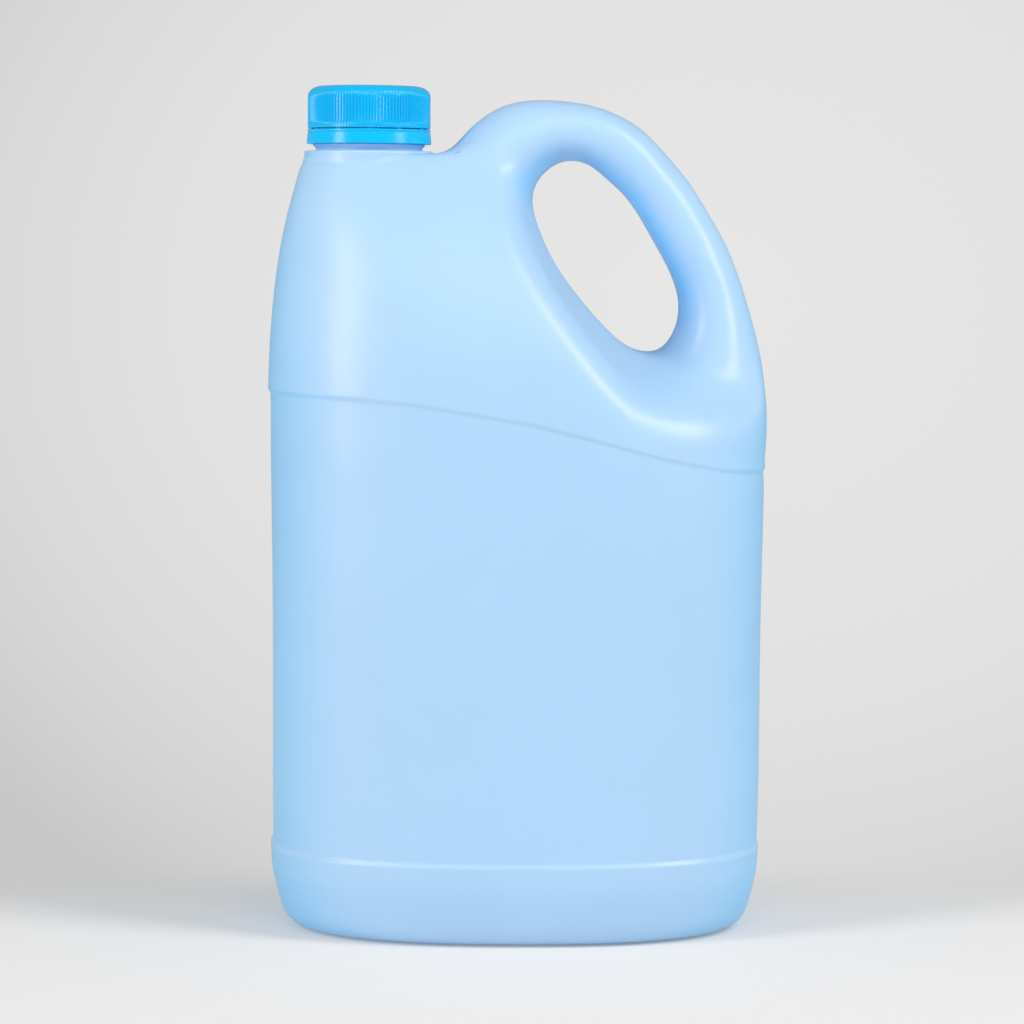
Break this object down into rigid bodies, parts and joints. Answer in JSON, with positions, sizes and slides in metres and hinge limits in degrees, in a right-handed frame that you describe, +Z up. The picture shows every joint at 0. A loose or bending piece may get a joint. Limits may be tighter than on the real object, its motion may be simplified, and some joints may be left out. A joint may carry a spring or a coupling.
{
  "type": "fluid jug",
  "caption": "Blow-moulded jug with a tubular handle round a slanted hole, offset threaded neck, tamper band, ribbed screw cap and sealing liner, for diesel exhaust fluid",
  "frame": {"origin": "centre of the flat base on the floor", "axes": "+Z up through the neck, +X towards the handle, +Y to the back; the mould's parting plane is y = 0"},
  "size_m": [0.1735, 0.1246, 0.2898],
  "materials": {
    "jug_plastic": "satin natural polyethylene with a pale blue tint",
    "cap_plastic": "glossy azure polypropylene",
    "liner_foam": "white foamed polyethylene"
  },
  "bodies": {
    "jug": {"jug_body": "jug_plastic"},
    "band": {"tamper_band": "cap_plastic"},
    "liner": {"cap_liner": "liner_foam"},
    "cap": {"screw_cap": "cap_plastic"}
  },
  "joints": [
    {"name": "band_turn", "type": "hinge", "parent": "jug", "child": "band", "pos_m": [-0.0518, 0, 0.2723], "axis": [0, 0, 1], "continuous": true},
    {"name": "cap_lift", "type": "slide", "parent": "jug", "child": "liner", "axis": [0, 0, 1], "range_m": [0, 0.0085]},
    {"name": "cap_turn", "type": "hinge", "parent": "liner", "child": "cap", "pos_m": [-0.0518, 0, 0.2825], "axis": [0, 0, 1], "range_deg": [0, 720]}
  ],
  "couplings": [
    {"joint": "cap_lift", "follows": "cap_turn", "m_per_rad": 0.00066845}
  ]
}
